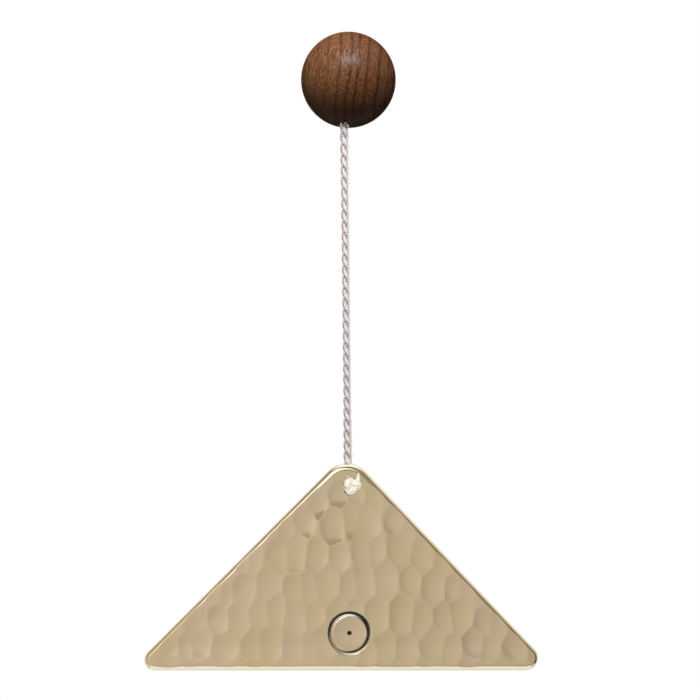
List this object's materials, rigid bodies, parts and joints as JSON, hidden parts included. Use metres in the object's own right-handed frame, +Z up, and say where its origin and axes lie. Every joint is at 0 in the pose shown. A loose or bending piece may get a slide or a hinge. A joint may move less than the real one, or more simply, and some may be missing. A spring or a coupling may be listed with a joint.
{
  "type": "triangular plate chime",
  "caption": "Hand-held chime: a hammered bronze triangle plate hung on a braided cord from a turned wooden ball handle, struck to ring freely.",
  "frame": {"origin": "centre of the ball handle, where the hand holds the part", "axes": "+Z up along the hanging cord, +X to the right of the hammered face, +Y from the hammered face to the plate's back"},
  "size_m": [0.1651, 0.04, 0.2684],
  "materials": {
    "bronze": "hammered and polished",
    "walnut": "turned and oiled",
    "braided_cord": "satin braid"
  },
  "bodies": {
    "handle": {"handle_ball": "walnut", "handle_knot": "braided_cord", "cord_in_bore": "braided_cord"},
    "cord_neck": {"cord_neck": "braided_cord"},
    "cord_upper": {"cord_upper": "braided_cord"},
    "cord_lower": {"cord_lower": "braided_cord", "front_knot": "braided_cord"},
    "plate": {"sound_plate": "bronze"}
  },
  "joints": [
    {"name": "swing_front", "type": "hinge", "parent": "handle", "child": "cord_neck", "pos_m": [-0.00176, -0.00446, -0.02096], "axis": [1, 0, 0], "range_deg": [-60, 60]},
    {"name": "swing_side", "type": "hinge", "parent": "cord_neck", "child": "cord_upper", "pos_m": [-0.00167, -0.00421, -0.02896], "axis": [0, 1, 0], "range_deg": [-60, 60]},
    {"name": "cord_twist", "type": "hinge", "parent": "cord_upper", "child": "cord_lower", "pos_m": [-0.00048, -0.00096, -0.13667], "axis": [-0.0111, -0.0302, 0.9995], "range_deg": [-180, 180], "stiffness_Nm_per_rad": 0.0005},
    {"name": "plate_rock", "type": "hinge", "parent": "cord_lower", "child": "plate", "pos_m": [0.0009, -0.00446, -0.1715], "axis": [0, 1, 0], "range_deg": [-45, 45]}
  ]
}
